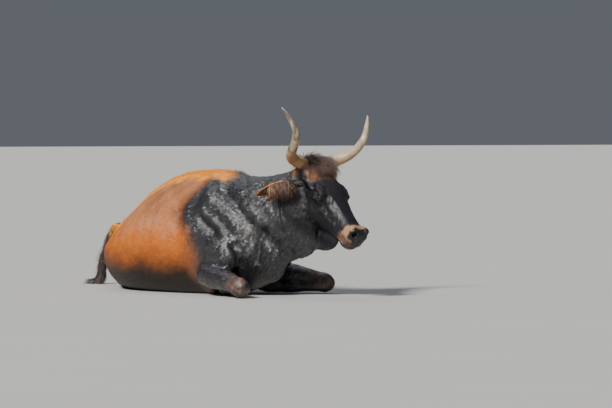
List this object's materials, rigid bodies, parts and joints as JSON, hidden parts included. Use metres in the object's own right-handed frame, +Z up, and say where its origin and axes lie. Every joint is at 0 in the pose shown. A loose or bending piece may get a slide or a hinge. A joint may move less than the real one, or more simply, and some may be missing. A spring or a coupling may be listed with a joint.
{
  "type": "heck cattle",
  "caption": "Lying horned cattle, a still life-size model: long trunk on folded legs, raised head turned aside, upswept horns, hanging ears and a tail laid on the floor.",
  "frame": {"origin": "middle of the outer box in plan, at floor level under the animal", "axes": "+Z up, +X towards the head along the trunk, +Y towards the animal's left side"},
  "size_m": [2.41, 1.0088, 1.0447],
  "materials": {
    "coat_black": "short glossy black coat",
    "coat_brown": "short red-brown coat",
    "coat_dark_brown": "dark brown coat and long hair",
    "horn": "polished pale horn",
    "hoof": "dark dull horn",
    "eye": "wet dark brown"
  },
  "bodies": {
    "root": {"head": "coat_black", "neck": "coat_black", "shoulders": "coat_black", "forearm_right": "coat_black", "forearm_left": "coat_black", "fore_cannon_right": "coat_black", "fore_cannon_left": "coat_black", "barrel": "coat_brown", "rump": "coat_brown", "thigh_left": "coat_brown", "shank_left": "coat_brown", "hind_cannon_left": "coat_dark_brown", "hind_cannon_right": "coat_dark_brown", "tail": "coat_dark_brown", "tail_switch": "coat_dark_brown", "ear_left": "coat_dark_brown", "ear_right": "coat_dark_brown", "horn_left": "horn", "horn_right": "horn", "fore_hoof_left": "hoof", "fore_hoof_right": "hoof", "hind_hoof_left": "hoof", "hind_hoof_right": "hoof", "eye_left": "eye", "eye_right": "eye"}
  },
  "joints": []
}
